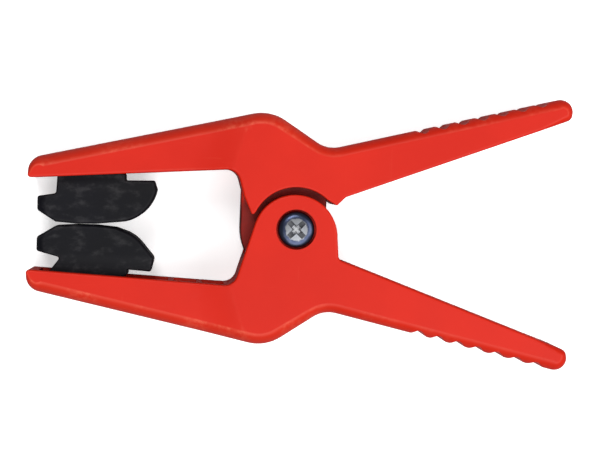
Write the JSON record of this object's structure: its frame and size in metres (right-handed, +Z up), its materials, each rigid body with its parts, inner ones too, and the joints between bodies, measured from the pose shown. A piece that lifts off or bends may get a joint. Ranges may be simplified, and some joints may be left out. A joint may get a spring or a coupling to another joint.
{
  "type": "spring clamp",
  "caption": "Hand spring clamp with two channel-section arms, scalloped handles, a screw pivot with a torsion spring, and swivelling gripping pads.",
  "frame": {"origin": "middle of the footprint's bounding box, on the resting plane, with the clamp lying on its side", "axes": "+Z up, along the hinge axis; +X from the jaw tips towards the handles; +Y from the lower arm to the upper arm"},
  "size_m": [0.103, 0.0516, 0.0181],
  "materials": {
    "arm_plastic": "satin moulded plastic with light scuffs",
    "pad_rubber": "matt black, slightly dusty",
    "plated_steel": "bright blue-white zinc plating",
    "spring_steel": "drawn wire, lightly oiled"
  },
  "bodies": {
    "lower": {"lower_arm": "arm_plastic", "pivot_screw": "plated_steel", "pivot_sleeve": "plated_steel", "pivot_nut": "plated_steel", "torsion_spring": "spring_steel"},
    "upper": {"upper_arm": "arm_plastic"},
    "lower_jaw_pad": {"lower_pad": "pad_rubber"},
    "upper_jaw_pad": {"upper_pad": "pad_rubber"}
  },
  "joints": [
    {"name": "jaw_hinge", "type": "hinge", "parent": "lower", "child": "upper", "pos_m": [-0.00075, 0, 0], "axis": [0, 0, -1], "range_deg": [0, 38], "stiffness_Nm_per_rad": 0.49, "springref_deg": -57.3, "deforming": ["torsion_spring"]},
    {"name": "upper_pad_swivel", "type": "hinge", "parent": "upper", "child": "upper_jaw_pad", "pos_m": [-0.04105, 0.0109, 0], "axis": [0, 0, 1], "range_deg": [-4, 4]},
    {"name": "lower_pad_swivel", "type": "hinge", "parent": "lower", "child": "lower_jaw_pad", "pos_m": [-0.04105, -0.0109, 0], "axis": [0, 0, -1], "range_deg": [-4, 4]}
  ]
}
